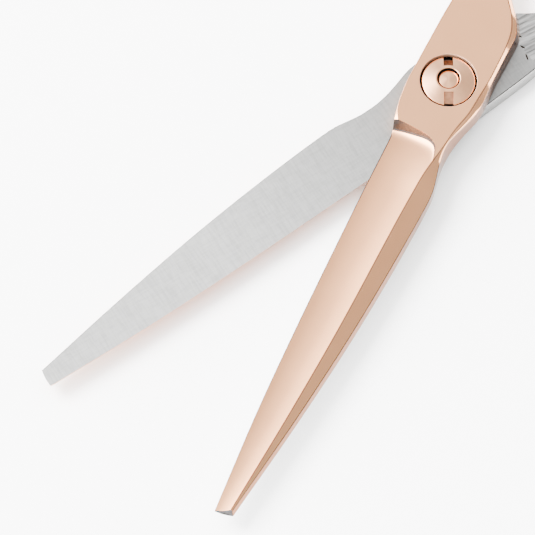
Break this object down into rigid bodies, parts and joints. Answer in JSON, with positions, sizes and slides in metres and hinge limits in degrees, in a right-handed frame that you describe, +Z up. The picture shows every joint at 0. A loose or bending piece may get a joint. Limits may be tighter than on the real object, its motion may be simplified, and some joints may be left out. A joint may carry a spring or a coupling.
{
  "type": "hair cutting shears",
  "caption": "Right-handed hair cutting shears with hollow-ground tapering blades, a flush slotted tension nut, finger rings with soft inserts and a curved finger rest.",
  "frame": {"origin": "centre of the underside of the whole outline, with the shears lying open and flat", "axes": "+X from the pivot to the blade tips, along the middle of the open blades; +Z up, along the pivot, out of the tension nut's face"},
  "size_m": [0.1608, 0.0944, 0.0073],
  "materials": {
    "coated_steel": "satin rose gold coating on the outer faces, bare satin steel on the inner faces and blade ends",
    "bare_steel": "fine turned",
    "coated_nut": "fine turned rose gold coating",
    "spring_steel": "satin",
    "bearing_brass": "satin",
    "bearing_plastic": "matte",
    "soft_insert": "matte soft rubber",
    "soft_pad": "matte soft rubber"
  },
  "bodies": {
    "finger_side": {"finger_half": "coated_steel", "pivot_bush": "bearing_brass", "finger_ring_insert": "soft_insert", "finger_rest": "coated_steel", "silencer_stud": "bare_steel", "silencer_pad": "soft_pad"},
    "thumb_side": {"thumb_half": "coated_steel", "pivot_screw": "coated_nut", "glide_washer": "bearing_plastic", "disc_spring": "spring_steel", "friction_washer": "bearing_plastic", "thumb_ring_insert": "soft_insert"},
    "nut": {"tension_nut": "coated_nut"}
  },
  "joints": [
    {"name": "blade_pivot", "type": "hinge", "parent": "finger_side", "child": "thumb_side", "pos_m": [0.01101, 0.00284, 0.00328], "axis": [0, 0, -1], "range_deg": [-26.2, 63.8]},
    {"name": "nut_turn", "type": "hinge", "parent": "thumb_side", "child": "nut", "pos_m": [0.01101, 0.00284, 0.00328], "axis": [0, 0, -1], "range_deg": [-90, 90]}
  ]
}
